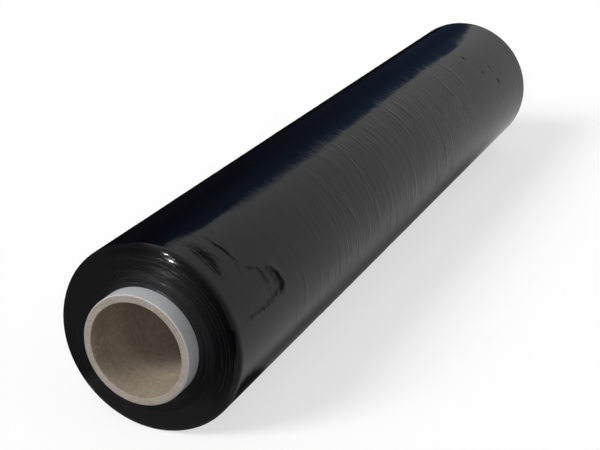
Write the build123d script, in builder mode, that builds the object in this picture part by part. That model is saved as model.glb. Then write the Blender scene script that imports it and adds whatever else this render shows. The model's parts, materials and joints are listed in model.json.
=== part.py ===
"""A roll of black stretch film, wound on a paperboard core, lying on its side.

The roll's axis runs along +X, at the height where the film's small flat spot rests on z = 0.
The film is one wound solid. Its turns show at both ends: a group of turns that wandered
sideways while the film was wound stands proud at one end and is set back at the other.
At the near end, at -X, the outer turns draw in and curl down over a large rounded shoulder,
and at the far end they are nearly flush. The last turn ends in a free edge along the back of
the roll. The core is one spiral-wound tube, longer than the film is wide, so that it stands
out at both ends and takes a dispenser's mandrel.

Sizes are in millimetres.
"""

from build123d import *

import math
import os

# Film
film_width = 500.0
roll_diameter = 100.0
near_shoulder_height = 6.0
near_shoulder_depth = 6.0
far_shoulder_height = 2.0
far_shoulder_depth = 1.5
shoulder_lift = 0.25
turn_group = 0.95
turn_wander = 0.4
tail_step = 0.1
tail_angle = -22.0
flat_depth = 0.5

# Core
core_bore = 50.0
core_wall = 4.0
core_overhang = 10.0
core_outer_easing = 0.8
core_bore_easing = 0.4

# Worked out from the sizes above
roll_radius = roll_diameter / 2
bore_radius = core_bore / 2
core_radius = bore_radius + core_wall
core_length = film_width + 2 * core_overhang
axis_height = roll_radius - flat_depth
cut_margin = roll_radius / 4

roll_axis = Axis((0, 0, axis_height), (1, 0, 0))
lengthwise = Plane(origin=(0, 0, axis_height), x_dir=(1, 0, 0), z_dir=(0, -1, 0))
crosswise = Plane(origin=(0, 0, axis_height), x_dir=(0, 1, 0), z_dir=(1, 0, 0))


def wander(radius):
    """How far the turns at a radius drifted along +X while the film was wound."""
    slow = 0.45 * math.sin(0.61 * radius + 0.4)
    quick = 0.55 * math.sin(4.37 * radius)
    return turn_wander * (slow + quick)


def turn_edges(shoulder_height, shoulder_depth):
    """Each group of turns, from the core out, as its radius and how far it is drawn in.

    The groups lie evenly across the flat of the film's end and evenly round its shoulder.
    The shoulder is part of an ellipse that is a little taller than the shoulder is high, so
    that it meets the outside of the roll at a blunt edge.
    """
    shoulder_start = roll_radius - shoulder_height
    shoulder_radius = shoulder_height + shoulder_lift
    shoulder_sweep = math.asin(shoulder_height / shoulder_radius)
    flat_height = shoulder_start - core_radius
    flat_groups = round(flat_height / turn_group)
    shoulder_groups = round(shoulder_radius * shoulder_sweep / turn_group) + 1
    for group in range(flat_groups):
        yield core_radius + flat_height * group / flat_groups, 0.0
    for group in range(shoulder_groups + 1):
        angle = shoulder_sweep * group / shoulder_groups
        draw_in = shoulder_depth * (1 - math.cos(angle))
        yield shoulder_start + shoulder_radius * math.sin(angle), draw_in


# The core: a plain tube with eased ends
with BuildPart() as core:
    with BuildSketch(crosswise.offset(-core_length / 2)):
        Circle(core_radius)
        Circle(bore_radius, mode=Mode.SUBTRACT)
    extrude(amount=core_length)
    end_rings = core.edges().filter_by(GeomType.CIRCLE)
    fillet(end_rings.filter_by(lambda ring: ring.radius > bore_radius + core_wall / 2), core_outer_easing)
    end_rings = core.edges().filter_by(GeomType.CIRCLE)
    fillet(end_rings.filter_by(lambda ring: abs(ring.radius - bore_radius) < core_wall / 4), core_bore_easing)

# The wound film: the last turn is a two-centre spiral that ends in a step, the free edge
tail_plane = crosswise.rotated((tail_angle, 0, 0))
with BuildPart() as film:
    with BuildSketch(tail_plane.offset(-film_width / 2 - turn_wander)):
        with BuildLine():
            first_half = CenterArc((0, 0), roll_radius, 0, 180)
            last_half = CenterArc((-tail_step / 2, 0), roll_radius - tail_step / 2, 180, 180)
            Line(last_half @ 1, first_half @ 0)
        make_face()
        Circle(core_radius, mode=Mode.SUBTRACT)
    extrude(amount=film_width + 2 * turn_wander)
    for end, shoulder_height, shoulder_depth in (
        (-1, near_shoulder_height, near_shoulder_depth),
        (1, far_shoulder_height, far_shoulder_depth),
    ):
        beyond = end * (film_width / 2 + cut_margin)
        edges = [
            (end * (film_width / 2 - draw_in) + wander(radius), radius)
            for radius, draw_in in turn_edges(shoulder_height, shoulder_depth)
        ]
        with BuildSketch(lengthwise):
            with BuildLine():
                Polyline(
                    (beyond, core_radius - core_wall / 2),
                    (edges[0][0], core_radius - core_wall / 2),
                    *edges,
                    (edges[-1][0], roll_radius + cut_margin),
                    (beyond, roll_radius + cut_margin),
                    close=True,
                )
            make_face()
        revolve(axis=roll_axis, mode=Mode.SUBTRACT)
    split(bisect_by=Plane.XY, keep=Keep.TOP)

core.part.label = "core"
film.part.label = "film"

os.makedirs("parts", exist_ok=True)
export_step(core.part, "parts/core.step")
export_step(film.part, "parts/film.step")
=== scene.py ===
"""A roll of glossy black stretch film on a paperboard core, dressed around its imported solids.

The roll lies along +X with its near end at -X. Places on the film's side are given by how far
along the roll they are, in millimetres from its middle, and how far round it, in degrees from
the top towards the camera's side. Everything that Blender gets is in metres.
"""

import json
import logging
import math
import random
from abc import ABC, abstractmethod
from dataclasses import dataclass
from enum import Enum
from typing import Any, Iterator, Union

import bmesh
import bpy
from mathutils import Matrix, Vector, noise

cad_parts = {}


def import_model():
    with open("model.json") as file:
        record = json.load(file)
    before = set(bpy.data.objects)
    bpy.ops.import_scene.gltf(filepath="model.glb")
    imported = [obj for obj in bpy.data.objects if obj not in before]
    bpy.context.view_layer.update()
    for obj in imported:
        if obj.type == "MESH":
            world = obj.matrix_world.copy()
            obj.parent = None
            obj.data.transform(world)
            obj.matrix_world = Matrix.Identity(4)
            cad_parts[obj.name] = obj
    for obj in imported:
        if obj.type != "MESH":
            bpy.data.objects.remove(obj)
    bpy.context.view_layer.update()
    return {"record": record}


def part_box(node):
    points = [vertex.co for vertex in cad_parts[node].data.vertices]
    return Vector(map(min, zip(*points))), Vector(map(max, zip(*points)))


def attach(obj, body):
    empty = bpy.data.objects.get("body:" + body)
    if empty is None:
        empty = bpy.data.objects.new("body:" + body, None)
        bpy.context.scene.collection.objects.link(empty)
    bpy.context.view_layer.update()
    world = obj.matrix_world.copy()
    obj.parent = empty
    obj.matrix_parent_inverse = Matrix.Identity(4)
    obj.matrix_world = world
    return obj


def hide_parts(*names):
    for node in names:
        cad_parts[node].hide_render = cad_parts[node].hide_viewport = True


log = logging.getLogger("stretch_wrap_roll")

MM = 0.001

# The film's nominal radius, and how far the core stands out of it at each end, in millimetres
ROLL_RADIUS = 50.0
CORE_OVERHANG = 10.0

Number = Union[int, float]
Triple = tuple[float, float, float]
Colour = tuple[float, float, float]

BLACK: Colour = (0.0, 0.0, 0.0)
WHITE: Colour = (1.0, 1.0, 1.0)


class End(Enum):
    """The two ends of the roll, by the sign of X on which they lie."""

    NEAR = -1
    FAR = 1


class Ray(Enum):
    """The kinds of ray that the studio tells apart."""

    CAMERA = "Is Camera Ray"
    GLOSSY = "Is Glossy Ray"


def smooth_step(low: float, high: float, value: float) -> float:
    """Blend smoothly from 0 at low to 1 at high.

    Args:
        low: where the blend starts.
        high: where the blend ends.
        value: the place to read.

    Returns:
        The blend, from 0 to 1.
    """
    share = min(max((value - low) / (high - low), 0.0), 1.0)
    return share * share * (3.0 - 2.0 * share)


class Value:
    """A shader socket that carries a number and does arithmetic by adding Math nodes."""

    def __init__(self, graph: "Graph", socket: bpy.types.NodeSocket) -> None:
        """Wrap one output socket of a graph."""
        self.graph = graph
        self.socket = socket

    def _math(self, operation: str, first: "Operand", second: "Operand") -> "Value":
        """Add one Math node and return its result."""
        node = self.graph.node("ShaderNodeMath", {"operation": operation}, {0: first, 1: second})
        return self.graph.value(node)

    def __add__(self, other: "Operand") -> "Value":
        """Add."""
        return self._math("ADD", self, other)

    def __radd__(self, other: "Operand") -> "Value":
        """Add, with this value second."""
        return self._math("ADD", other, self)

    def __sub__(self, other: "Operand") -> "Value":
        """Take away."""
        return self._math("SUBTRACT", self, other)

    def __rsub__(self, other: "Operand") -> "Value":
        """Take away, with this value second."""
        return self._math("SUBTRACT", other, self)

    def __mul__(self, other: "Operand") -> "Value":
        """Multiply."""
        return self._math("MULTIPLY", self, other)

    def __rmul__(self, other: "Operand") -> "Value":
        """Multiply, with this value second."""
        return self._math("MULTIPLY", other, self)

    def __abs__(self) -> "Value":
        """Drop the sign."""
        return self._math("ABSOLUTE", self, 0.0)

    def sign(self) -> "Value":
        """Take the sign, as -1, 0 or 1."""
        return self._math("SIGN", self, 0.0)


Operand = Union[Value, Number]


class Graph:
    """The node tree of one material or of the world."""

    def __init__(self, tree: bpy.types.NodeTree) -> None:
        """Empty a node tree and start to fill it."""
        self.tree = tree
        tree.nodes.clear()

    def node(
        self,
        kind: str,
        settings: dict[str, Any] | None = None,
        inputs: dict[Union[str, int], Any] | None = None,
    ) -> bpy.types.Node:
        """Add one node.

        Args:
            kind: the node's type.
            settings: the node's own properties, which are set first. The stops of a ramp are
                given under "stops", as pairs of a place and a colour.
            inputs: a value, a Value or another node's output for each named socket.

        Returns:
            The node.
        """
        made = self.tree.nodes.new(kind)
        for name, setting in (settings or {}).items():
            if name == "stops":
                self._set_stops(made.color_ramp, setting)
            else:
                setattr(made, name, setting)
        for name, given in (inputs or {}).items():
            self._feed(made.inputs[name], given)
        return made

    def _feed(self, socket: bpy.types.NodeSocket, given: Any) -> None:
        """Link or set one socket."""
        if isinstance(given, Value):
            given = given.socket
        if isinstance(given, bpy.types.NodeSocket):
            self.tree.links.new(given, socket)
        else:
            socket.default_value = given

    @staticmethod
    def _set_stops(ramp: bpy.types.ColorRamp, stops: list[tuple[float, Colour]]) -> None:
        """Give a colour ramp its stops."""
        while len(ramp.elements) < len(stops):
            ramp.elements.new(0.5)
        for element, (place, colour) in zip(ramp.elements, stops):
            element.position = place
            element.color = (*colour, 1.0)

    def value(self, node: bpy.types.Node, output: Union[str, int] = 0) -> Value:
        """Wrap one output of a node as a number."""
        return Value(self, node.outputs[output])

    def place(self) -> bpy.types.NodeSocket:
        """The place on the surface, in the object's own coordinates."""
        return self.node("ShaderNodeTexCoord").outputs["Object"]

    def parts(self) -> tuple[Value, ...]:
        """The three coordinates of the place on the surface."""
        node = self.node("ShaderNodeSeparateXYZ", {}, {0: self.place()})
        return tuple(self.value(node, axis) for axis in "XYZ")

    def noise(
        self,
        scale: Triple,
        detail: float = 2.0,
        roughness: float = 0.5,
        shift: Triple = (0.0, 0.0, 0.0),
        distortion: float = 0.0,
    ) -> Value:
        """Noise that varies from 0 to 1.

        Args:
            scale: how many cells there are to a metre along each axis.
            detail: how many finer layers are added.
            roughness: how strong the finer layers are.
            shift: moves the pattern, in cells.
            distortion: bends the pattern, in cells.

        Returns:
            The noise.
        """
        mapped = self.node(
            "ShaderNodeMapping", {}, {"Vector": self.place(), "Scale": scale, "Location": shift}
        )
        node = self.node(
            "ShaderNodeTexNoise",
            {"noise_dimensions": "3D"},
            {
                "Vector": mapped.outputs["Vector"],
                "Scale": 1.0,
                "Detail": detail,
                "Roughness": roughness,
                "Distortion": distortion,
            },
        )
        return self.value(node, "Fac")

    def ramp(self, factor: Operand, low: float, high: float) -> Value:
        """Blend smoothly from 0 at low to 1 at high."""
        node = self.node(
            "ShaderNodeMapRange",
            {"interpolation_type": "SMOOTHSTEP"},
            {"Value": factor, "From Min": low, "From Max": high},
        )
        return self.value(node, "Result")

    def mix(self, factor: Operand, first: Any, second: Any) -> bpy.types.NodeSocket:
        """Mix two colours."""
        node = self.node("ShaderNodeMix", {"data_type": "RGBA"}, {0: factor})
        colours = [socket for socket in node.inputs if socket.type == "RGBA"]
        for socket, given in zip(colours, (first, second)):
            self._feed(socket, (*given, 1.0) if isinstance(given, tuple) else given)
        return next(socket for socket in node.outputs if socket.type == "RGBA")

    def vector(self, operation: str, *given: Any) -> bpy.types.Node:
        """Add one Vector Math node."""
        return self.node("ShaderNodeVectorMath", {"operation": operation}, dict(enumerate(given)))

    def from_axis(self, axis_height: float) -> bpy.types.NodeSocket:
        """The way from the roll's axis straight out to the surface, in metres."""
        node = self.vector("MULTIPLY_ADD", self.place(), (0.0, 1.0, 1.0), (0.0, 0.0, -axis_height))
        return node.outputs[0]

    def bump(self, height: Value, distance: float, under: Any = None) -> bpy.types.NodeSocket:
        """Turn a height into a normal, where a height of 1 stands distance metres proud.

        Args:
            height: the height.
            distance: how far a height of 1 stands out.
            under: the normal that the height bends, where it isn't the surface's own.

        Returns:
            The bent normal.
        """
        inputs = {"Height": height, "Distance": distance}
        if under is not None:
            inputs["Normal"] = under
        return self.node("ShaderNodeBump", {}, inputs).outputs["Normal"]

    def principled(self, inputs: dict[str, Any]) -> bpy.types.Node:
        """Add a Principled shader."""
        return self.node("ShaderNodeBsdfPrincipled", {}, inputs)

    def glow(self, colour: bpy.types.NodeSocket) -> bpy.types.Node:
        """Add a shader that shines in a colour at full strength."""
        return self.node("ShaderNodeEmission", {}, {"Color": colour, "Strength": 1.0})

    def blend(self, factor: Any, first: bpy.types.Node, second: bpy.types.Node) -> bpy.types.Node:
        """Mix two shaders."""
        return self.node("ShaderNodeMixShader", {}, {0: factor, 1: first.outputs[0], 2: second.outputs[0]})

    def finish_surface(self, shader: bpy.types.Node) -> None:
        """Link a shader to the material's output."""
        output = self.node("ShaderNodeOutputMaterial")
        self.tree.links.new(shader.outputs[0], output.inputs["Surface"])


def new_material(name: str) -> tuple[bpy.types.Material, Graph]:
    """Start a material with an empty graph."""
    material = bpy.data.materials.new(name)
    material.use_nodes = True
    return material, Graph(material.node_tree)


def add_object(name: str, mesh: bmesh.types.BMesh) -> bpy.types.Object:
    """Turn a bmesh into an object of the scene, and free the bmesh."""
    data = bpy.data.meshes.new(name)
    mesh.to_mesh(data)
    mesh.free()
    made = bpy.data.objects.new(name, data)
    bpy.context.scene.collection.objects.link(made)
    return made


@dataclass(frozen=True)
class StretchFilm:
    """Thin black polyethylene film, drawn tight, glossy and finely wrinkled; where crumpled it is dull and
    dark, which is partly crumpled film and partly painted shade in its creases and dents.
    """

    base: Colour = (0.0012, 0.0012, 0.0014)
    crumpled: Colour = (0.0020, 0.0020, 0.0022)
    crumpled_roughness: float = 0.6
    crumple_shade_share: float = 0.86
    smooth: float = 0.05
    scuffed: float = 0.09
    streak_depth: float = 0.20 * MM
    streak_cells: Triple = (680.0, 24.0, 24.0)
    hair_depth: float = 0.15 * MM
    hair_cells: Triple = (1500.0, 26.0, 26.0)
    mottle: float = 0.5
    mottle_cells: Triple = (130.0, 110.0, 110.0)
    attribute: str = "crumple"

    def material(self) -> bpy.types.Material:
        """Make the finish of the film's side."""
        made, graph = new_material("stretch_film")
        scuffs = graph.noise((30.0, 45.0, 45.0), detail=4.0, roughness=0.6)
        span = self.scuffed - self.smooth
        roughness = self.smooth + span * graph.ramp(scuffs, 0.35, 0.75)
        normal = graph.bump(self._height(graph), self.streak_depth)
        glossy = graph.principled(
            {"Base Color": (*self.base, 1.0), "Roughness": roughness, "IOR": 1.5, "Normal": normal}
        )
        # The dull finish reflects nothing: where it is mixed in, it is partly crumpled film and partly
        # painted shade and painted dark reflection.
        dull = graph.principled(
            {
                "Base Color": (*self.crumpled, 1.0),
                "Roughness": self.crumpled_roughness,
                "Specular IOR Level": 0.0,
                "Normal": normal,
            }
        )
        graph.finish_surface(graph.blend(self._crumple_shade(graph), glossy, dull))
        return made

    def _height(self, graph: Graph) -> Value:
        """The fine streaks that run round the roll, calmer towards its ends, its top and its back."""
        along, across, _ = graph.parts()
        calm = graph.ramp(along, 0.09, 0.175)
        busy = (0.10 + 0.90 * graph.ramp(along, -0.205, -0.100)) * (1.0 - 0.97 * calm)
        busy = busy * (1.0 - 0.70 * graph.ramp(across, -0.024, -0.006))
        patchy = graph.ramp(graph.noise((14.0, 18.0, 18.0), shift=(3.0, 1.0, 2.0)), 0.3, 0.7)
        streaks = graph.noise(self.streak_cells, detail=2.0, roughness=0.55, distortion=0.5)
        hairs = graph.noise(self.hair_cells, detail=1.0, roughness=0.5, distortion=0.4)
        share = self.hair_depth / self.streak_depth
        mottled = graph.ramp(along, 0.10, 0.18) * graph.noise(self.mottle_cells, detail=2.0, roughness=0.5)
        lowered = 1.0 - graph.ramp(across, -0.030, -0.012)
        return busy * (0.35 + 0.65 * patchy) * (streaks + share * hairs) + self.mottle * lowered * mottled

    def _crumple_shade(self, graph: Graph) -> Value:
        """How dull and dark the film is painted, with ragged edges: partly crumpled film, partly painted
        shade.
        """
        node = graph.node("ShaderNodeAttribute", {"attribute_name": self.attribute})
        painted = graph.value(node, "Fac")
        lines = graph.noise((950.0, 130.0, 130.0), detail=2.0, roughness=0.6, distortion=0.4)
        spots = graph.noise((420.0, 420.0, 420.0), detail=3.0, roughness=0.6)
        ragged = 1.5 * (lines - 0.5) + 0.7 * (spots - 0.5)
        torn = painted + ragged * graph.ramp(painted, 0.0, 0.35)
        return self.crumple_shade_share * graph.ramp(torn, 0.10, 0.95)


@dataclass(frozen=True)
class FilmEdges:
    """The edges of hundreds of turns, side by side: black with fine rings.

    Each turn's edge faces the roll's end and leans a little outwards, also where the outer turns
    draw in, and so the shading starts from that and not from the slope of the whole.
    """

    axis_height: float
    smooth: float = 0.15
    rough: float = 0.24
    gloss: float = 0.80
    clear: float = 0.48
    clear_roughness: float = 0.10
    lean: float = 0.09
    base: Colour = (0.0016, 0.0014, 0.0019)
    ring_depth: float = 0.46 * MM
    ring_cells: float = 1200.0
    grain: float = 0.20
    grain_cells: float = 1900.0

    def material(self) -> bpy.types.Material:
        """Make the finish of the film's wound ends."""
        made, graph = new_material("film_edges")
        across = graph.from_axis(self.axis_height)
        radius = graph.value(graph.vector("LENGTH", across), "Value")
        ring_place = graph.node("ShaderNodeCombineXYZ", {}, {"X": radius * self.ring_cells})
        rings = graph.node(
            "ShaderNodeTexNoise",
            {"noise_dimensions": "3D"},
            {"Vector": ring_place.outputs[0], "Scale": 1.0, "Detail": 3.0, "Roughness": 0.7},
        )
        grain = graph.noise((self.grain_cells,) * 3, detail=1.0)
        height = graph.value(rings, "Fac") + self.grain * grain
        shine = graph.ramp(graph.noise((60.0, 60.0, 60.0), detail=3.0), 0.3, 0.7)
        shader = graph.principled(
            {
                "Base Color": (*self.base, 1.0),
                "Roughness": self.smooth + (self.rough - self.smooth) * shine,
                "IOR": 1.5,
                "Specular IOR Level": self.gloss,
                "Coat Weight": self.clear,
                "Coat Roughness": self.clear_roughness,
                "Normal": graph.bump(height, self.ring_depth, self._edge_normal(graph, across)),
            }
        )
        graph.finish_surface(shader)
        return made

    def _edge_normal(self, graph: Graph, across: bpy.types.NodeSocket) -> bpy.types.NodeSocket:
        """The way that a single turn's edge faces."""
        along, _, _ = graph.parts()
        facing = graph.node("ShaderNodeCombineXYZ", {}, {"X": along.sign()})
        outwards = graph.vector("NORMALIZE", across).outputs[0]
        leaning = graph.vector("MULTIPLY_ADD", outwards, (self.lean,) * 3, facing.outputs[0]).outputs[0]
        return graph.vector("NORMALIZE", leaning).outputs[0]


@dataclass(frozen=True)
class Board:
    """Paperboard, fibrous and matt, with blotches, speckles and, where asked, bands round it."""

    name: str
    light: Colour
    dark: Colour
    blotch_cells: float = 70.0
    speckle_cells: float = 420.0
    fibre_cells: Triple = (1500.0, 900.0, 900.0)
    fibre_depth: float = 0.05 * MM
    bands: float = 0.0
    band_cells: Triple = (75.0, 12.0, 12.0)
    roughness: float = 0.75
    gloss: float = 0.12

    def material(self) -> bpy.types.Material:
        """Make the finish."""
        made, graph = new_material(self.name)
        blotches = graph.noise((self.blotch_cells,) * 3, detail=4.0, roughness=0.6)
        blotches = graph.ramp(blotches, 0.3, 0.7)
        speckles = graph.noise((self.speckle_cells,) * 3, detail=3.0, roughness=0.7)
        speckles = graph.ramp(speckles, 0.35, 0.65)
        fibres = graph.noise(self.fibre_cells, detail=3.0, roughness=0.7)
        banded = graph.ramp(graph.noise(self.band_cells, detail=3.0, roughness=0.6), 0.35, 0.65)
        tone = 0.25 * blotches + 0.50 * speckles + 0.25 * fibres + self.bands * (banded - 0.5)
        shader = graph.principled(
            {
                "Base Color": graph.mix(tone, self.dark, self.light),
                "Roughness": self.roughness,
                "Specular IOR Level": self.gloss,
                "Normal": graph.bump(fibres, self.fibre_depth),
            }
        )
        graph.finish_surface(shader)
        return made


class Mark(ABC):
    """A fold, ridge or dent in the side of the film."""

    @abstractmethod
    def reach(self) -> tuple[float, float]:
        """The stretch of the roll that the mark touches, as two places along it."""

    @abstractmethod
    def relief(self, place: "Place") -> float:
        """How far the mark moves the film at a place, outwards positive, in millimetres."""

    @abstractmethod
    def is_near(self, place: "Place", margin: float) -> bool:
        """Say whether a place lies within the mark or a margin round it."""


@dataclass(frozen=True)
class Place:
    """A place on the side of the roll: how far along it, and how far round, both in millimetres."""

    along: float
    round: float


@dataclass(frozen=True)
class Dent(Mark):
    """A small round pit, or with a negative depth a small pimple."""

    along: float
    arc: float
    radius: float
    depth: float

    def _distance(self, place: Place) -> float:
        """How far a place is from the dent's middle."""
        return math.hypot(place.along - self.along, place.round - math.radians(self.arc) * ROLL_RADIUS)

    def reach(self) -> tuple[float, float]:
        """The stretch of the roll that the dent touches."""
        return self.along - 3 * self.radius, self.along + 3 * self.radius

    def relief(self, place: Place) -> float:
        """How far the dent moves the film at a place."""
        share = self._distance(place) / self.radius
        return -self.depth * math.exp(-share * share)

    def is_near(self, place: Place, margin: float) -> bool:
        """Say whether a place lies within the dent or a margin round it."""
        return self._distance(place) < 1.5 * self.radius + margin


@dataclass(frozen=True)
class Fold(Mark):
    """A ridge that runs round the roll, or with a negative height a groove.

    Its flank towards the near end and its flank towards the far end have their own widths, so
    that one of them can be steeper. The line is given by points, in order of their arcs.
    """

    line: tuple[tuple[float, float], ...]
    height: float
    near_width: float = 0.9
    far_width: float = 0.9
    fade: float = 7.0

    def reach(self) -> tuple[float, float]:
        """The stretch of the roll that the fold touches."""
        places = [along for along, _ in self.line]
        return min(places) - 3 * self.near_width, max(places) + 3 * self.far_width

    def _turned(self, place: Place) -> float:
        """The place's arc, on the turn on which the fold lies."""
        arc = math.degrees(place.round / ROLL_RADIUS)
        middle = (self.line[0][1] + self.line[-1][1]) / 2
        return arc + 360.0 * round((middle - arc) / 360.0)

    def _along(self, arc: float) -> float:
        """Where the fold lies along the roll at an arc, on a smooth curve through its points."""
        places = self.line
        spot = 0
        while spot < len(places) - 2 and arc > places[spot + 1][1]:
            spot += 1
        (x0, a0), (x1, a1) = places[spot], places[spot + 1]
        before = places[spot - 1] if spot > 0 else (x0, a0)
        after = places[spot + 2] if spot + 2 < len(places) else (x1, a1)
        slope0 = (x1 - before[0]) / (a1 - before[1])
        slope1 = (after[0] - x0) / (after[1] - a0)
        span = a1 - a0
        t = min(max((arc - a0) / span, 0.0), 1.0)
        start = (2 * t**3 - 3 * t**2 + 1) * x0 + (t**3 - 2 * t**2 + t) * span * slope0
        return start + (3 * t**2 - 2 * t**3) * x1 + (t**3 - t**2) * span * slope1

    def relief(self, place: Place) -> float:
        """How far the fold moves the film at a place."""
        arc = self._turned(place)
        inside = min(arc - self.line[0][1], self.line[-1][1] - arc)
        if inside <= 0.0:
            return 0.0
        offset = place.along - self._along(arc)
        share = offset / (self.far_width if offset > 0 else self.near_width)
        if abs(share) > 3.0:
            return 0.0
        hold = smooth_step(0.0, self.fade, math.radians(inside) * ROLL_RADIUS)
        return self.height * math.exp(-share * share) * hold

    def is_near(self, place: Place, margin: float) -> bool:
        """Say whether a place lies on the fold's steeper parts or within a margin of them."""
        arc = self._turned(place)
        if not self.line[0][1] < arc < self.line[-1][1]:
            return False
        return abs(place.along - self._along(arc)) < 1.5 * min(self.near_width, self.far_width) + margin


@dataclass(frozen=True)
class Pucker(Mark):
    """A ridge that runs along the roll, given by points in order along it."""

    line: tuple[tuple[float, float], ...]
    height: float
    width: float = 0.9
    fade: float = 5.0

    def reach(self) -> tuple[float, float]:
        """The stretch of the roll that the pucker touches."""
        return self.line[0][0], self.line[-1][0]

    def _offset(self, place: Place) -> float:
        """How far round the roll a place is from the pucker."""
        spot = 0
        while spot < len(self.line) - 2 and place.along > self.line[spot + 1][0]:
            spot += 1
        (x0, a0), (x1, a1) = self.line[spot], self.line[spot + 1]
        share = smooth_step(x0, x1, place.along)
        return place.round - math.radians(a0 + (a1 - a0) * share) * ROLL_RADIUS

    def relief(self, place: Place) -> float:
        """How far the pucker moves the film at a place."""
        inside = min(place.along - self.line[0][0], self.line[-1][0] - place.along)
        share = self._offset(place) / self.width
        if inside <= 0.0 or abs(share) > 3.0:
            return 0.0
        return self.height * math.exp(-share * share) * smooth_step(0.0, self.fade, inside)

    def is_near(self, place: Place, margin: float) -> bool:
        """Say whether a place lies on the pucker or within a margin of it."""
        return abs(self._offset(place)) < 1.5 * self.width + margin


@dataclass(frozen=True)
class CrumpleShade:
    """A streak of film painted dull and dark: partly film so finely crumpled that it looks dull, partly
    painted shade in creases and dents.

    The line's points give how far along the roll and how far round it they lie, and half the
    streak's width there, in millimetres.
    """

    line: tuple[tuple[float, float, float], ...]
    strength: float
    soft: float = 0.9

    def weight(self, place: Place) -> float:
        """How dull and dark the film is painted at a place, from 0 to 1."""
        most = 0.0
        for (x0, a0, w0), (x1, a1, w1) in zip(self.line, self.line[1:]):
            low, high = min(x0, x1) - w0 - w1 - 2.0, max(x0, x1) + w0 + w1 + 2.0
            if not low < place.along < high:
                continue
            start = Vector((x0, math.radians(a0) * ROLL_RADIUS))
            span = Vector((x1, math.radians(a1) * ROLL_RADIUS)) - start
            offset = Vector((place.along, place.round)) - start
            share = min(max(offset.dot(span) / span.length_squared, 0.0), 1.0)
            inside = w0 + (w1 - w0) * share - (offset - span * share).length
            most = max(most, min(0.5 + inside / (2 * self.soft), 1.0))
        return self.strength * most


@dataclass(frozen=True)
class Shoulder:
    """How the outer turns draw in at one end of the roll.

    The side droops towards the shoulder over a short reach, and so they meet at a soft edge.
    """

    height: float
    depth: float
    droop: float = 0.0
    droop_reach: float = 3.0


@dataclass
class Wrinkles:
    """The fine folds that run round the film's side, drawn by a seeded generator.

    They are as many and as high as they get between full_from and full_to along the roll, and
    fewer and lower from there to its ends.
    """

    count: int = 2600
    seed: int = 11
    shortest: float = 8.0
    longest: float = 36.0
    steep: float = 0.75
    gentle: float = 2.2
    lowest: float = 0.020
    highest: float = 0.105
    full_from: float = -95.0
    full_to: float = 60.0
    gone_by: float = 165.0

    def folds(self, start: float, stop: float) -> Iterator[Fold]:
        """Draw the folds.

        Args:
            start: where along the roll the folds may begin.
            stop: where they end.

        Yields:
            One fold after another.
        """
        draw = random.Random(self.seed)
        for _ in range(self.count):
            along = draw.uniform(start, stop)
            arc = draw.uniform(-180.0, 180.0)
            length = draw.uniform(self.shortest, self.longest)
            size = self.lowest + (self.highest - self.lowest) * draw.random() ** 2.5
            slant = draw.gauss(0.0, 0.03)
            bow = draw.gauss(0.0, 0.7)
            one = draw.uniform(self.steep, 1.3)
            other = draw.uniform(one, self.gentle)
            near_is_steep = draw.random() < 0.6
            keep = smooth_step(start, self.full_from, along)
            keep *= 1.0 - smooth_step(self.full_to, self.gone_by, along)
            if draw.random() > 0.08 + 0.92 * keep:
                continue
            sweep = math.degrees(length / ROLL_RADIUS)
            line = (
                (along - slant * length / 2, arc - sweep / 2),
                (along + bow, arc),
                (along + slant * length / 2, arc + sweep / 2),
            )
            near_width, far_width = (one, other) if near_is_steep else (other, one)
            size *= (0.4 + 0.6 * keep) * (1.0 - 0.6 * smooth_step(70.0, 40.0, abs(arc + 25.0)))
            size *= 1.0 - 0.45 * smooth_step(26.0, 12.0, abs(arc - 58.0))
            yield Fold(line, size, near_width, far_width, fade=length / 3)


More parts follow.
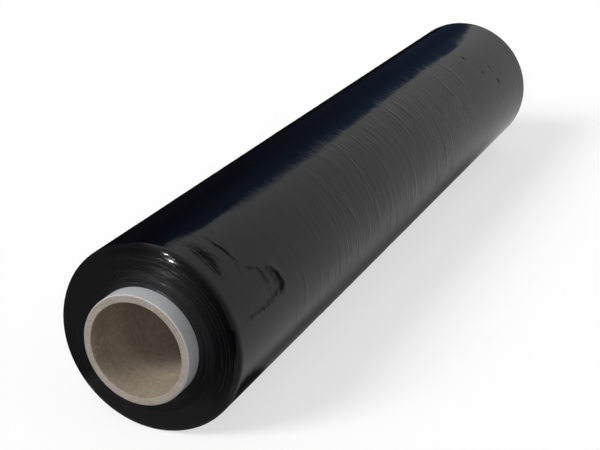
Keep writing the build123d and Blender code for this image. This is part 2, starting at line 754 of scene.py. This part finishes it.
@dataclass
class FilmRoll:
    """The wound film: its side, its free edge, its shoulders and its two ringed ends."""

    half_width: float
    radius: float
    core_radius: float
    axis_height: float
    near_shoulder: Shoulder = Shoulder(6.0, 6.0, droop=0.20, droop_reach=1.5)
    far_shoulder: Shoulder = Shoulder(2.0, 1.5)
    shoulder_lift: float = 0.25
    turn_wander: float = 0.4
    turn_group: float = 0.45
    near_pitch: float = 0.60
    far_pitch: float = 1.10
    tail_arc: float = -112.0
    tail_step: float = 0.1
    tail_width: float = 0.3
    shown_arcs: tuple[float, float] = (-60.0, 150.0)
    shown_step: float = 2.5
    hidden_step: float = 5.0
    skin: float = 0.55
    fold_margins: tuple[float, float] = (8.0, 4.0)
    held_reach: float = 2.5
    bin_size: float = 4.0
    name: str = "film_wound"
    marks: tuple[Mark, ...] = (
        Dent(165.5, 28.2, 1.8, 0.20),
        Dent(189.0, 49.6, 1.7, 0.16),
        Dent(172.6, 48.7, 1.7, 0.14),
        Dent(191.6, 62.8, 2.0, 0.20),
        Dent(103.4, 46.1, 1.5, 0.16),
        Dent(88.0, 43.3, 1.3, 0.10),
        Dent(108.0, 60.9, 1.7, 0.16),
        Dent(51.1, 80.4, 1.6, 0.20),
        Dent(100.5, 82.9, 1.6, 0.20),
        Dent(241.0, 47.0, 1.2, -0.25),
        Fold(((-31.0, 14.0), (-32.0, 37.0), (-29.0, 57.0)), 0.09, 0.75, 1.2),
        Fold(((-66.0, 26.0), (-68.0, 46.0), (-72.0, 59.0), (-74.0, 76.0)), 0.10, 0.75, 1.2),
        Fold(((-109.0, 20.0), (-107.0, 46.0), (-103.0, 60.0), (-96.0, 76.0)), 0.10, 0.8, 1.2),
        Fold(((-49.0, 60.0), (-46.0, 87.0), (-49.0, 102.0)), 0.11, 0.75, 1.2),
        Fold(((133.0, 18.0), (132.0, 37.0), (131.0, 52.0)), 0.11, 0.95, 1.5),
        Fold(((108.0, 18.0), (105.0, 40.0), (102.0, 52.0)), 0.11, 0.95, 1.5),
        Fold(((242.8, 20.0), (243.2, 60.0), (242.4, 100.0), (243.0, 130.0)), 0.10, 0.7, 0.9),
        Fold(((238.6, 55.0), (238.0, 80.0), (238.8, 105.0)), 0.09, 0.7, 1.0),
        Fold(((-220.0, 22.0), (-220.3, 30.0), (-220.0, 42.0), (-222.0, 54.0)), 0.11, 0.9, 1.6),
        Fold(((-235.0, 22.0), (-234.5, 30.0), (-237.0, 44.0)), 0.14, 1.2, 2.4),
        Fold(((-230.0, 22.0), (-229.0, 28.0), (-229.0, 38.0)), 0.09, 0.9, 1.8),
        Fold(((-200.0, 54.0), (-196.0, 64.0), (-196.0, 74.0)), 0.35, 1.3, 3.0, fade=3.0),
        Pucker(((-240.0, 73.0), (-221.0, 74.5), (-205.0, 72.0), (-197.0, 71.0)), 0.10, 0.9),
    )
    crumple_shades: tuple[CrumpleShade, ...] = (
        # Dull dark spots over the dents: painted shade in the pits.
        CrumpleShade(((165.2, 27.2, 1.1), (166.2, 29.4, 1.2)), 0.66, soft=1.3),
        CrumpleShade(((189.0, 48.6, 1.1), (189.2, 50.8, 1.2)), 0.70, soft=1.2),
        CrumpleShade(((171.4, 48.5, 1.3), (174.0, 49.0, 1.0)), 0.66, soft=1.2),
        CrumpleShade(((191.2, 61.4, 1.2), (192.0, 64.2, 1.4)), 0.76, soft=1.3),
        CrumpleShade(((103.8, 45.2, 0.6), (103.0, 47.2, 0.9)), 0.74, soft=0.9),
        CrumpleShade(((88.0, 42.4, 0.8), (88.0, 44.2, 0.8)), 0.56, soft=1.2),
        CrumpleShade(((107.6, 60.0, 0.9), (108.4, 61.8, 0.9)), 0.60, soft=1.1),
        CrumpleShade(((51.0, 79.4, 0.8), (51.4, 81.6, 1.0)), 0.64, soft=1.1),
        # Dark streaks, the hook and the smudge by the near end: partly crumpled film, partly painted shade
        # in its creases.
        CrumpleShade(
            (
                (-234.5, 17.6, 1.6), (-233.0, 22.0, 3.2), (-233.4, 27.8, 4.6), (-234.3, 33.4, 4.2),
                (-236.0, 39.6, 2.4), (-237.2, 44.5, 1.0),
            ),
            0.66, soft=2.4,
        ),
        CrumpleShade(
            (
                (-233.7, 20.0, 1.0), (-233.7, 26.4, 2.0), (-234.5, 31.1, 2.2), (-234.8, 35.5, 1.2),
            ),
            0.84, soft=1.6,
        ),
        CrumpleShade(
            (
                (-235.7, 17.0, 0.4), (-235.9, 22.3, 0.7), (-237.5, 27.8, 0.9), (-238.5, 34.4, 0.9),
                (-237.8, 42.5, 0.5),
            ),
            0.74,
        ),
        CrumpleShade(
            (
                (-228.8, 22.0, 0.4), (-228.1, 28.2, 0.8), (-228.5, 33.2, 0.8), (-228.7, 37.5, 0.4),
            ),
            0.54,
        ),
        CrumpleShade(
            (
                (-220.3, 18.0, 0.3), (-220.4, 23.0, 0.8), (-221.0, 28.5, 1.2), (-220.3, 33.4, 1.2),
                (-220.1, 37.0, 0.8), (-219.6, 41.2, 0.5), (-219.0, 46.5, 0.2),
            ),
            0.84,
        ),
        CrumpleShade(((-217.6, 23.0, 0.3), (-217.1, 28.8, 0.5), (-217.5, 34.5, 0.4)), 0.62),
        CrumpleShade(
            (
                (-217.6, 48.6, 0.4), (-214.0, 50.4, 1.0), (-209.3, 52.8, 0.9), (-208.5, 54.6, 0.7),
            ),
            0.60,
        ),
        CrumpleShade(
            (
                (-208.5, 54.6, 1.3), (-207.4, 58.1, 2.4), (-207.1, 61.4, 2.2), (-207.4, 67.0, 1.0),
            ),
            0.56, soft=1.8,
        ),
        CrumpleShade(((-201.8, 56.6, 1.0), (-199.8, 60.6, 2.6), (-198.8, 65.4, 2.4)), 0.64, soft=2.0),
        CrumpleShade(
            (
                (-198.4, 60.6, 0.6), (-196.1, 64.3, 2.2), (-195.3, 67.7, 3.0), (-195.6, 70.1, 2.8),
                (-197.8, 71.6, 1.9),
            ),
            0.94, soft=2.2,
        ),
        CrumpleShade(
            (
                (-197.8, 71.6, 1.8), (-203.9, 72.0, 1.8), (-210.5, 73.2, 1.6), (-217.4, 73.9, 1.6),
                (-224.4, 73.4, 1.3), (-235.7, 72.5, 0.8),
            ),
            0.58, soft=1.8,
        ),
        CrumpleShade(((-188.4, 63.0, 0.3), (-186.5, 67.1, 0.6), (-186.4, 70.4, 0.3)), 0.44),
        CrumpleShade(((-171.8, 60.0, 0.3), (-171.6, 65.4, 0.6), (-171.4, 71.5, 0.3)), 0.44),
        # A painted reflection of the shadow under the roll: a dark ragged patch low on the side by the near
        # end, not crumpled film.
        CrumpleShade(
            (
                (-243.0, 117.0, 8.0), (-238.0, 115.0, 8.5), (-232.0, 116.5, 9.0), (-225.0, 118.5, 7.5),
                (-217.0, 121.0, 6.0), (-210.0, 123.5, 3.5),
            ),
            1.0, soft=3.2,
        ),
    )

    @classmethod
    def from_frame(cls) -> "FilmRoll":
        """Read the film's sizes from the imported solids, in millimetres."""
        film_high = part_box("film")[1]
        core_low, core_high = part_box("core")
        axis_height = (core_high.z + core_low.z) / 2 / MM
        return cls(
            half_width=core_high.x / MM - CORE_OVERHANG,
            radius=film_high.z / MM - axis_height,
            core_radius=(core_high.z - core_low.z) / 2 / MM,
            axis_height=axis_height,
        )

    def wander(self, radius: float) -> float:
        """How far the turns at a radius drifted along +X while the film was wound."""
        slow = 0.45 * math.sin(0.61 * radius + 0.4)
        middling = 0.10 * math.sin(2.31 * radius + 1.0)
        quick = 0.16 * math.sin(4.37 * radius)
        return self.turn_wander * (slow + middling + quick)

    def edge(self, shoulder: Shoulder) -> Iterator[tuple[float, float]]:
        """The film's edge from the core out, as radius and how far it is drawn in."""
        shoulder_start = self.radius - shoulder.height
        rounding = shoulder.height + self.shoulder_lift - shoulder.droop
        sweep = math.asin((shoulder.height - shoulder.droop) / rounding)
        flat = shoulder_start - self.core_radius
        flat_groups = round(flat / self.turn_group)
        for group in range(flat_groups):
            yield self.core_radius + flat * group / flat_groups, 0.0
        round_groups = round(rounding * sweep / self.turn_group)
        for group in range(round_groups + 1):
            angle = sweep * group / round_groups
            yield shoulder_start + rounding * math.sin(angle), shoulder.depth * (1 - math.cos(angle))

    def end_line(self, end: End) -> list[tuple[float, float]]:
        """One end's section, from the hole out, as along and radius."""
        shoulder = self.near_shoulder if end is End.NEAR else self.far_shoulder
        return [
            (end.value * (self.half_width - draw_in) + self.wander(radius), radius)
            for radius, draw_in in self.edge(shoulder)
        ]

    def side_line(self, start: float, stop: float) -> list[tuple[float, float]]:
        """The side's section between the two shoulders, closer together near the near end."""
        count = round((stop - start) / ((self.near_pitch + self.far_pitch) / 2))
        growth = (self.far_pitch - self.near_pitch) / (self.far_pitch + self.near_pitch)
        places = []
        for step in range(1, count):
            share = step / count
            share = share * (1.0 - growth * (1.0 - share))
            along = (stop - start) * share
            inside = max(1.0 - along / self.near_shoulder.droop_reach, 0.0)
            places.append((start + along, self.radius - self.near_shoulder.droop * inside * inside))
        return places

    def build(self) -> bpy.types.Object:
        """Spin the section round the roll's axis and work the relief into it."""
        mesh = bmesh.new()
        near, far = self.end_line(End.NEAR), self.end_line(End.FAR)
        line = near + self.side_line(near[-1][0], far[-1][0]) + far[::-1]
        turn = math.radians(self.tail_arc)
        section = []
        for along, radius in line:
            across, up = -radius * math.sin(turn), self.axis_height + radius * math.cos(turn)
            section.append(mesh.verts.new((along * MM, across * MM, up * MM)))
        rim = [mesh.edges.new(pair) for pair in zip(section, section[1:] + section[:1])]
        last: list[Any] = section + rim
        low, high = self.shown_arcs
        spans = (
            (self.tail_width, self.tail_width),
            (low - self.tail_arc - self.tail_width, self.hidden_step),
            (high - low, self.shown_step),
            (self.tail_arc + 360.0 - high, self.hidden_step),
        )
        for sweep, step in spans:
            spun = bmesh.ops.spin(
                mesh,
                geom=last,
                cent=(0.0, 0.0, self.axis_height * MM),
                axis=(1.0, 0.0, 0.0),
                angle=math.radians(sweep),
                steps=round(sweep / step),
                use_duplicate=False,
            )
            last = spun["geom_last"]
        self._refine(mesh)
        bmesh.ops.remove_doubles(mesh, verts=mesh.verts[:], dist=1e-6)
        self._work(mesh)
        bmesh.ops.recalc_face_normals(mesh, faces=mesh.faces[:])
        self._assign(mesh)
        return add_object(self.name, mesh)

    def _reach(self, point: Vector) -> float:
        """How far a point is from the roll's axis, in millimetres."""
        return math.hypot(point.y, point.z - self.axis_height * MM) / MM

    def _place(self, point: Vector) -> Place:
        """Where a point of the side lies on it."""
        turn = math.atan2(-point.y, point.z - self.axis_height * MM)
        return Place(point.x / MM, turn * self.radius)

    def _refine(self, mesh: bmesh.types.BMesh) -> None:
        """Divide the faces of the side where the film is painted dull and dark, partly as painted shade, and
        where a mark lies.
        """
        around = set()
        for face, place in self._side_faces(mesh):
            if any(crumple.weight(place) > 0.0 for crumple in self.crumple_shades):
                around.update(edge for edge in face.edges if self._runs_round(edge))
        bmesh.ops.subdivide_edges(mesh, edges=list(around), cuts=3, use_grid_fill=True)
        edges = set()
        for face, place in self._side_faces(mesh):
            for mark in self.marks:
                low, high = mark.reach()
                if low < place.along < high and mark.is_near(place, 0.5):
                    edges.update(face.edges)
                    break
        bmesh.ops.subdivide_edges(mesh, edges=list(edges), cuts=1, use_grid_fill=True)

    def _side_faces(self, mesh: bmesh.types.BMesh) -> Iterator[tuple[bmesh.types.BMFace, Place]]:
        """The faces of the side, each with the place of its middle."""
        for face in mesh.faces:
            middle = face.calc_center_median()
            if self._reach(middle) > self.radius - 0.1 - self.near_shoulder.droop:
                yield face, self._place(middle)

    @staticmethod
    def _runs_round(edge: bmesh.types.BMEdge) -> bool:
        """Say whether an edge runs round the roll."""
        first, second = edge.verts
        return abs(first.co.x - second.co.x) < 0.01 * MM

    def _work(self, mesh: bmesh.types.BMesh) -> None:
        """Move the points of the side by the film's relief and press the roll's flat spot."""
        side_start, side_stop = self.end_line(End.NEAR)[-1][0], self.end_line(End.FAR)[-1][0]
        near_margin, far_margin = self.fold_margins
        folds = Wrinkles().folds(side_start + near_margin, side_stop - far_margin)
        bins: dict[int, list[Mark]] = {}
        for mark in (*self.marks, *folds):
            low, high = mark.reach()
            for index in range(math.floor(low / self.bin_size), math.floor(high / self.bin_size) + 1):
                bins.setdefault(index, []).append(mark)
        painted = mesh.verts.layers.float.new(StretchFilm.attribute)
        for point in mesh.verts:
            reach = self._reach(point.co)
            place = self._place(point.co)
            if reach > self.radius - 1.0 and side_start - 0.1 < place.along < side_stop + 0.1:
                hold = smooth_step(side_start, side_start + self.held_reach, place.along)
                hold *= 1.0 - smooth_step(side_stop - self.held_reach, side_stop, place.along)
                relief = self._swell(place)
                for mark in bins.get(math.floor(place.along / self.bin_size), []):
                    relief += mark.relief(place)
                # How dull and dark the film is painted here: partly crumpled film, partly painted shade.
                weights = [crumple.weight(place) for crumple in self.crumple_shades]
                point[painted] = hold * max(weights)
                grow = (reach + hold * relief) / reach
                point.co.y *= grow
                point.co.z = (point.co.z - self.axis_height * MM) * grow + self.axis_height * MM
            point.co.z = max(point.co.z, 0.0)

    def _swell(self, place: Place) -> float:
        """The side's slow swells, its fine uneven folds and its free edge, in millimetres."""
        turn = place.round / self.radius
        since_tail = (math.degrees(turn) - self.tail_arc - self.tail_width + 0.001) % 360.0
        step = self.tail_step * since_tail / (360.0 - self.tail_width)
        across = self.radius * math.sin(turn)
        height = self.radius * math.cos(turn)
        slow = noise.noise(Vector((place.along / 34.0, across / 60.0, height / 60.0)))
        middling = noise.noise(Vector((place.along / 13.0, across / 50.0, height / 50.0 + 7.0)))
        patch = 0.5 + 0.5 * noise.noise(Vector((place.along / 35.0 + 3.0, across / 35.0, height / 35.0)))
        middle = smooth_step(-190.0, -90.0, place.along) * (1.0 - smooth_step(70.0, 170.0, place.along))
        drift = place.along + 1.5 * noise.noise(Vector((place.along / 40.0, across / 30.0, height / 30.0)))
        fine = noise.noise(Vector((drift / 2.6, across / 26.0, height / 26.0)))
        folds = (0.10 + 0.90 * middle) * patch * 0.12 * fine
        calm = 1.0 - 0.7 * smooth_step(150.0, 215.0, place.along)
        return calm * (0.06 * slow + (0.02 + 0.02 * middle) * middling + folds) - step

    def _assign(self, mesh: bmesh.types.BMesh) -> None:
        """Give each face its finish."""
        for face in mesh.faces:
            face.smooth = True
            reach = self._reach(face.calc_center_median())
            face.material_index = 0 if reach > self.radius - self.skin else 1

    def dress(self, piece: bpy.types.Object) -> None:
        """Give the film its two finishes and its place in the frame."""
        for finish in (StretchFilm(), FilmEdges(self.axis_height * MM)):
            piece.data.materials.append(finish.material())
        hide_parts("film")
        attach(piece, "root")


@dataclass
class Core:
    """The paperboard tube that the film is wound on."""

    length: float
    radius: float
    bore_radius: float
    axis_height: float
    outer_easing: float = 0.8
    bore_easing: float = 0.4
    easing_steps: int = 5
    run_pitch: float = 6.5
    steps_round: int = 144
    cut_lines: tuple[float, float] = (-0.8, 0.5)
    outside_skin: float = 0.25
    bore_skin: float = 0.15
    name: str = "core_tube"

    @classmethod
    def from_frame(cls, record: dict[str, Any]) -> "Core":
        """Read the core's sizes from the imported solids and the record, in millimetres."""
        low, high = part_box("core")
        bore = next(mount for mount in record["mounts"] if mount["name"] == "core_bore")
        return cls(
            length=(high.x - low.x) / MM,
            radius=(high.z - low.z) / 2 / MM,
            bore_radius=bore["dims"]["r_mm"],
            axis_height=(high.z + low.z) / 2 / MM,
        )

    def outline(self) -> list[tuple[float, float]]:
        """The tube's section, all the way round, as along and radius."""
        half = self.length / 2
        quarter = [math.pi / 2 * step / self.easing_steps for step in range(self.easing_steps + 1)]
        count = round(self.length / self.run_pitch)
        points = []
        for end in End:
            face = []
            for angle in quarter:
                drawn_in = self.bore_easing * (1 - math.sin(angle))
                face.append((half - drawn_in, self.bore_radius + self.bore_easing * (1 - math.cos(angle))))
            middle = (self.radius + self.bore_radius) / 2
            face += [(half, middle + offset) for offset in self.cut_lines]
            for angle in quarter:
                drawn_in = self.outer_easing * (1 - math.cos(angle))
                face.append((half - drawn_in, self.radius - self.outer_easing * (1 - math.sin(angle))))
            points.append([(end.value * along, radius) for along, radius in face])
        near, far = points
        inner_half = half - self.bore_easing
        outer_half = half - self.outer_easing
        outside = [
            (-outer_half + 2 * outer_half * step / count, self.radius) for step in range(1, count)
        ]
        inside = [
            (inner_half - 2 * inner_half * step / count, self.bore_radius) for step in range(1, count)
        ]
        return near + outside + far[::-1] + inside

    def build(self) -> bpy.types.Object:
        """Spin the section round the axis."""
        mesh = bmesh.new()
        outline = [
            mesh.verts.new((along * MM, 0.0, (self.axis_height + radius) * MM))
            for along, radius in self.outline()
        ]
        rim = [mesh.edges.new(pair) for pair in zip(outline, outline[1:] + outline[:1])]
        bmesh.ops.spin(
            mesh,
            geom=outline + rim,
            cent=(0.0, 0.0, self.axis_height * MM),
            axis=(1.0, 0.0, 0.0),
            angle=math.tau,
            steps=self.steps_round,
            use_merge=True,
            use_duplicate=False,
        )
        bmesh.ops.remove_doubles(mesh, verts=mesh.verts[:], dist=1e-6)
        bmesh.ops.recalc_face_normals(mesh, faces=mesh.faces[:])
        for face in mesh.faces:
            face.smooth = True
            middle = face.calc_center_median()
            reach = math.hypot(middle.y, middle.z - self.axis_height * MM) / MM
            if reach > self.radius - self.outside_skin:
                face.material_index = 0
            elif reach < self.bore_radius + self.bore_skin:
                face.material_index = 2
            else:
                face.material_index = 1
        return add_object(self.name, mesh)

    def dress(self, piece: bpy.types.Object) -> None:
        """Give the core its three finishes and its place in the frame."""
        outside = Board("core_outside", light=(0.50, 0.505, 0.52), dark=(0.43, 0.435, 0.45))
        cut = Board(
            "core_cut_end", light=(0.335, 0.306, 0.268), dark=(0.175, 0.152, 0.128), speckle_cells=900.0
        )
        inside = Board("core_bore", light=(0.395, 0.330, 0.255), dark=(0.250, 0.202, 0.156), bands=0.35)
        for finish in (outside, cut, inside):
            piece.data.materials.append(finish.material())
        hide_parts("core")
        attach(piece, "root")


@dataclass
class Studio:
    """The floor, the surroundings, the lamps and the camera.

    Black gloss shows what stands round it, so rays off gloss see a grey room, a dark screen that glows with
    painted light and a glowing floor with painted shadows, while the camera sees a white floor and a white
    background.
    """

    axis_height: float
    near_face: float
    floor_radius: float = 12.0
    heading: float = 24.39
    pitch: float = 22.02
    lens: float = 77.46
    near_right: float = -74.205
    near_down: float = 56.565
    near_ahead: float = 622.02
    room: float = 0.47
    ambient: float = 0.29
    key: float = 2.45
    fill: float = 1.12
    glint: float = 1.8
    screen_distance: float = 6.0
    screen_middle: float = 28.0
    contact_shadow_dark: float = 0.76
    front_shadow_dark: float = 0.82
    corner_shadow_dark: float = 0.96
    beyond_dark: float = 0.985

    def camera_axes(self) -> tuple[Vector, Vector, Vector]:
        """The camera's right, up and forward directions."""
        turn, tilt = math.radians(self.heading), math.radians(self.pitch)
        right = Vector((math.sin(turn), -math.cos(turn), 0.0))
        up = Vector((math.sin(tilt) * math.cos(turn), math.sin(tilt) * math.sin(turn), math.cos(tilt)))
        forward = Vector((math.cos(tilt) * math.cos(turn), math.cos(tilt) * math.sin(turn), -math.sin(tilt)))
        return right, up, forward

    def camera(self) -> None:
        """Set up the camera by where it sees the middle of the roll's near face."""
        right, up, forward = self.camera_axes()
        near = Vector((self.near_face, 0.0, self.axis_height))
        seen = (right * self.near_right - up * self.near_down + forward * self.near_ahead) * MM
        data = bpy.data.cameras.new("camera")
        data.lens = self.lens
        data.sensor_width = 36.0
        data.clip_start = 0.01
        camera = bpy.data.objects.new("camera", data)
        turn = Matrix((right, up, -forward)).transposed()
        camera.matrix_world = Matrix.Translation(near - seen) @ turn.to_4x4()
        bpy.context.scene.collection.objects.link(camera)
        bpy.context.scene.camera = camera

    def floor(self) -> None:
        """Lay a pale floor that keeps the roll's shadow."""
        mesh = bmesh.new()
        bmesh.ops.create_circle(mesh, cap_ends=True, segments=96, radius=self.floor_radius)
        floor = add_object("floor", mesh)
        material, graph = new_material("floor_paint")
        grain = graph.noise((4.0, 4.0, 4.0), detail=2.0)
        plain = graph.node(
            "ShaderNodeBsdfDiffuse", {}, {"Color": graph.mix(grain, (0.37, 0.37, 0.37), (0.39, 0.39, 0.39))}
        )
        shown = graph.principled(
            {
                "Base Color": (0.45, 0.45, 0.45, 1.0),
                "Roughness": 1.0,
                "Specular IOR Level": 0.0,
                "Emission Color": (*WHITE, 1.0),
                "Emission Strength": 0.62,
            }
        )
        # Gloss sees the floor as a glow at the room's level, with painted shadows in it.
        mirrored = graph.glow(graph.mix(self._floor_glow_with_painted_shade(graph), BLACK, WHITE))
        path = graph.node("ShaderNodeLightPath")
        matt = graph.blend(path.outputs[Ray.GLOSSY.value], plain, mirrored)
        graph.finish_surface(graph.blend(path.outputs[Ray.CAMERA.value], matt, shown))
        floor.data.materials.append(material)

    def _floor_glow_with_painted_shade(self, graph: Graph) -> Value:
        """How bright gloss sees the floor's glow: painted shadow below the roll and before its near end, and
        dark beyond it.
        """
        along, across, _ = graph.parts()
        # Painted shadow under the roll, beside its contact line.
        beside = 1.0 - graph.ramp(abs(across), 0.045, 0.070)
        below = beside * (1.0 - graph.ramp(along, 0.16, 0.29))
        # Painted shadow on the floor before the roll's near end.
        right = graph.ramp(along, -0.35, -0.30) * (1.0 - graph.ramp(across, -0.10, -0.045))
        past = 1.0 - (1.0 - graph.ramp(along, -0.30, -0.265)) * (1.0 - right)
        corner = (1.0 - graph.ramp(along, -0.31, -0.262)) * (1.0 - right)
        corner = corner * (1.0 - graph.ramp(across, 0.02, 0.09))
        front = (1.0 - past) * (1.0 + 0.08 * (1.0 - graph.ramp(across, -0.03, 0.01)))
        beyond = past * graph.ramp(across, 0.050, 0.065)
        level = self.room * (1.0 - self.contact_shadow_dark * below * past) * (1.0 - self.front_shadow_dark * front)
        return level * (1.0 - self.corner_shadow_dark * corner) * (1.0 - self.beyond_dark * beyond)

    def surroundings(self) -> None:
        """Make the world white to the camera and a soft grey room to everything else."""
        world = bpy.data.worlds.new("surroundings")
        world.use_nodes = True
        bpy.context.scene.world = world
        graph = Graph(world.node_tree)
        direction = graph.node("ShaderNodeTexCoord").outputs["Generated"]
        behind = graph.ramp(self._facing(graph, direction, 180.0, 25.0), 0.28, 0.74)
        beyond = graph.ramp(self._facing(graph, direction, 92.0, 15.0), 0.55, 0.78)
        room = self.room * (1.0 - 0.94 * behind) * (1.0 - 0.80 * beyond)
        path = graph.node("ShaderNodeLightPath")
        camera = graph.value(path, Ray.CAMERA.value)
        glossy = graph.value(path, Ray.GLOSSY.value)
        level = camera + (1.0 - camera) * (glossy * room + (1.0 - glossy) * self.ambient)
        shade = graph.mix(level, BLACK, WHITE)
        back = graph.node("ShaderNodeBackground", {}, {"Color": shade, "Strength": 1.0})
        output = graph.node("ShaderNodeOutputWorld")
        graph.tree.links.new(back.outputs[0], output.inputs["Surface"])

    def _facing(self, graph: Graph, direction: Any, azimuth: float, rise: float) -> Value:
        """How closely a direction points a given way, as the cosine of the angle between them."""
        node = graph.vector("DOT_PRODUCT", direction, tuple(self._direction(azimuth, rise)))
        return graph.value(node, "Value")

    def lamps(self) -> None:
        """Hang a large soft key lamp, a softer fill and two small lamps that only gloss shows."""
        for name, azimuth, rise, strength, width in (  # angles in degrees
            ("key", 150.0, 37.0, self.key, 24.0),
            ("fill", 195.0, 13.0, self.fill, 30.0),
            ("glint", 171.6, 41.0, self.glint, 1.4),
            ("high_glint", 128.0, 81.0, 0.6 * self.glint, 2.2),
        ):
            data = bpy.data.lights.new(name, "SUN")
            data.energy = strength
            data.angle = math.radians(width)
            lamp = bpy.data.objects.new(name, data)
            towards = self._direction(azimuth, rise)
            lamp.matrix_world = towards.to_track_quat("Z", "Y").to_matrix().to_4x4()
            lamp.visible_glossy = "glint" in name
            lamp.visible_diffuse = "glint" not in name
            bpy.context.scene.collection.objects.link(lamp)

    def dark_screen(self) -> None:
        """Stand a tall dark screen far behind the roll, which only its gloss shows; it glows with painted
        light and no lamp lights it.
        """
        outline = (
            (62.0, 33.0), (22.6, 32.6), (18.3, 34.0), (14.5, 34.1), (11.0, 33.1), (8.8, 32.1),
            (7.5, 30.3), (7.0, 28.0), (7.0, 25.5), (7.6, 23.8), (7.6, 22.4), (5.6, 21.4), (6.0, 20.7),
            (7.6, 19.9), (9.3, 18.9), (11.5, 17.3), (13.9, 15.0), (15.7, 13.0), (16.8, 9.5),
            (17.2, 4.0), (17.2, -2.0), (62.0, -2.0),
        )
        mesh = bmesh.new()
        corners = []
        for azimuth, rise in outline:
            reach = self.screen_distance / math.cos(math.radians(azimuth - self.screen_middle))
            corner = self._direction(azimuth, 0.0) * reach
            corner.z = reach * math.tan(math.radians(rise)) + self.axis_height * 2
            corners.append(mesh.verts.new(corner))
        mesh.faces.new(corners)
        screen = add_object("dark_screen", mesh)
        material, graph = new_material("navy_cloth")
        across = self._direction(self.screen_middle + 90.0, 0.0)
        along = graph.vector("DOT_PRODUCT", graph.place(), tuple(across))
        right = self.screen_distance * math.tan(math.radians(6.0 - self.screen_middle))
        left = self.screen_distance * math.tan(math.radians(40.0 - self.screen_middle))
        share = graph.node(
            "ShaderNodeMapRange",
            {},
            {"Value": graph.value(along, "Value"), "From Min": right, "From Max": left},
        )
        # Painted light: the screen glows navy, fading to near black across it, and dimmer towards its foot.
        stops = [(0.0, (0.062, 0.098, 0.185)), (0.35, (0.030, 0.048, 0.098)), (0.8, (0.015, 0.013, 0.026))]
        navy_glow_ramp = graph.node("ShaderNodeValToRGB", {"stops": stops}, {"Fac": graph.value(share, "Result")})
        _, _, height = graph.parts()
        lit = 0.72 + 0.28 * graph.ramp(height, 1.6, 3.4)
        graph.finish_surface(graph.glow(graph.mix(lit, BLACK, navy_glow_ramp.outputs[0])))
        screen.data.materials.append(material)
        screen.visible_camera = False
        screen.visible_diffuse = False
        screen.visible_shadow = False
        screen.visible_transmission = False

    @staticmethod
    def _direction(azimuth: float, rise: float) -> Vector:
        """A direction from the roll, by its angle from +X towards +Y and its height."""
        turn, tilt = math.radians(azimuth), math.radians(rise)
        return Vector((math.cos(tilt) * math.cos(turn), math.cos(tilt) * math.sin(turn), math.sin(tilt)))


def main() -> None:
    """Build the roll and the studio round it."""
    logging.basicConfig(level=logging.INFO, format="%(name)s: %(message)s")
    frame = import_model()
    bpy.context.scene.view_settings.view_transform = "Standard"

    film = FilmRoll.from_frame()
    core = Core.from_frame(frame["record"])
    for builder in (film, core):
        piece = builder.build()
        builder.dress(piece)
        log.info("%s: %d faces", piece.name, len(piece.data.polygons))

    studio = Studio(axis_height=film.axis_height * MM, near_face=-film.half_width * MM)
    studio.camera()
    studio.floor()
    studio.surroundings()
    studio.lamps()
    studio.dark_screen()


if __name__ == "__main__":
    main()
